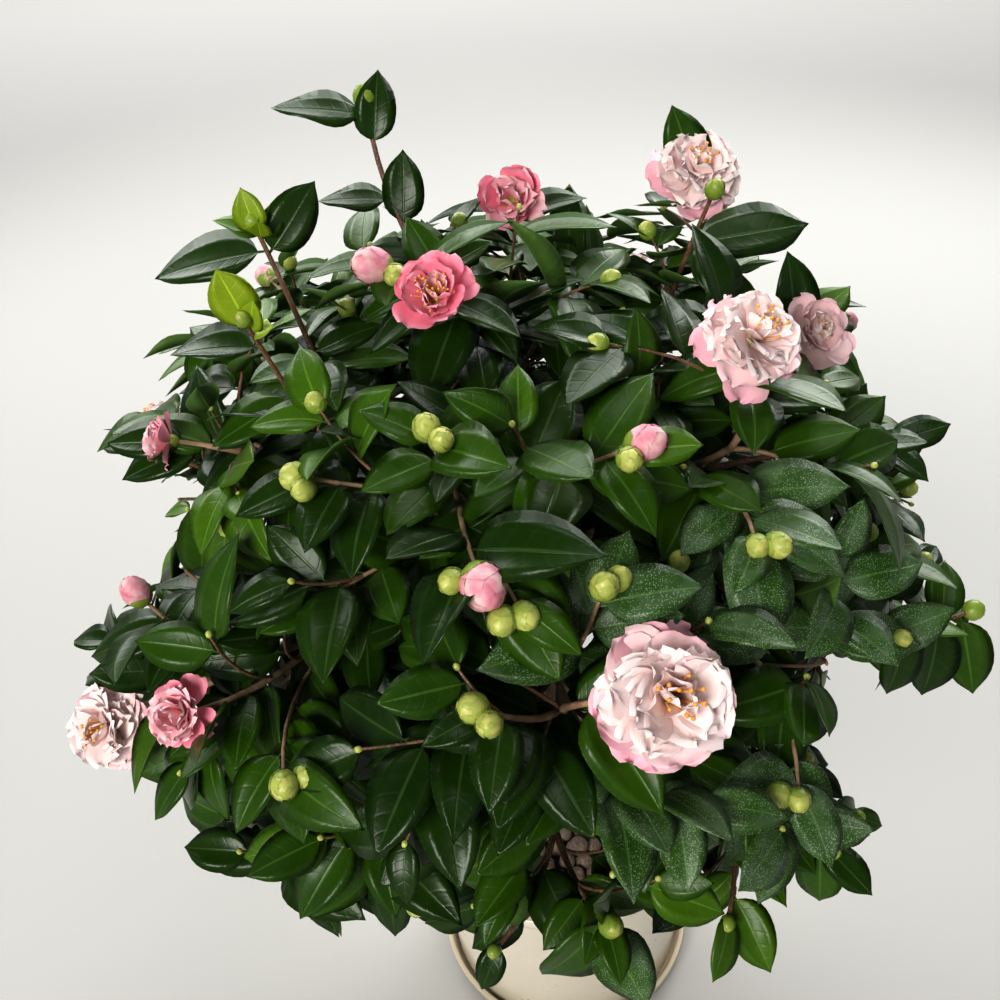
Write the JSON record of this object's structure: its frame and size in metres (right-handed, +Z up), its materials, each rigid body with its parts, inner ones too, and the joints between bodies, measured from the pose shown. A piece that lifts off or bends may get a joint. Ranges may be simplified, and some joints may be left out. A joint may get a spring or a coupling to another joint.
{
  "type": "potted camellia shrub",
  "caption": "Round camellia shrub with glossy evergreen leaves, pink and blush double blooms and buds, growing in a plain cream pot on a saucer.",
  "frame": {"origin": "middle of the saucer's flat underside, on the floor under the pot's axis", "axes": "+Z up along the pot's axis, -Y towards the viewer in front of the plant, +X to the viewer's right"},
  "size_m": [0.6984, 0.7257, 0.9159],
  "materials": {
    "pot": "smooth cream glaze, softly glossy",
    "saucer": "smooth cream glaze, slightly duller than the pot",
    "soil": "matt round clay pebbles over dark potting soil",
    "bark": "smooth grey-brown bark with fine cracks, reddish on young wood",
    "foliage": "thick glossy dark green leaves, paler beneath",
    "blossom": "soft thin petals, blush white to mid pink"
  },
  "bodies": {
    "root": {"saucer": "saucer", "pot": "pot", "soil": "soil", "trunk": "bark", "bough_top": "bark", "bough_upper_left": "bark", "bough_upper_front": "bark", "bough_upper_front_right": "bark", "bough_upper_right": "bark", "bough_upper_back": "bark", "bough_upper_back_left": "bark", "bough_side_front_left": "bark", "bough_side_front": "bark", "bough_side_front_right": "bark", "bough_side_right": "bark", "bough_side_back_right": "bark", "bough_side_back": "bark", "bough_side_left": "bark", "bough_low_front_left": "bark", "bough_low_front": "bark", "bough_low_front_right": "bark", "bough_low_right": "bark", "bough_low_back_right": "bark", "bough_low_back_left": "bark", "bough_low_left": "bark", "foliage_top": "foliage", "foliage_upper_left": "foliage", "foliage_upper_front": "foliage", "foliage_upper_front_right": "foliage", "foliage_upper_right": "foliage", "foliage_upper_back": "foliage", "foliage_upper_back_left": "foliage", "foliage_side_front_left": "foliage", "foliage_side_front": "foliage", "foliage_side_front_right": "foliage", "foliage_side_right": "foliage", "foliage_side_back_right": "foliage", "foliage_side_back": "foliage", "foliage_side_left": "foliage", "foliage_low_front_left": "foliage", "foliage_low_front": "foliage", "foliage_low_front_right": "foliage", "foliage_low_right": "foliage", "foliage_low_back_right": "foliage", "foliage_low_back_left": "foliage", "foliage_low_left": "foliage"}
  },
  "joints": []
}
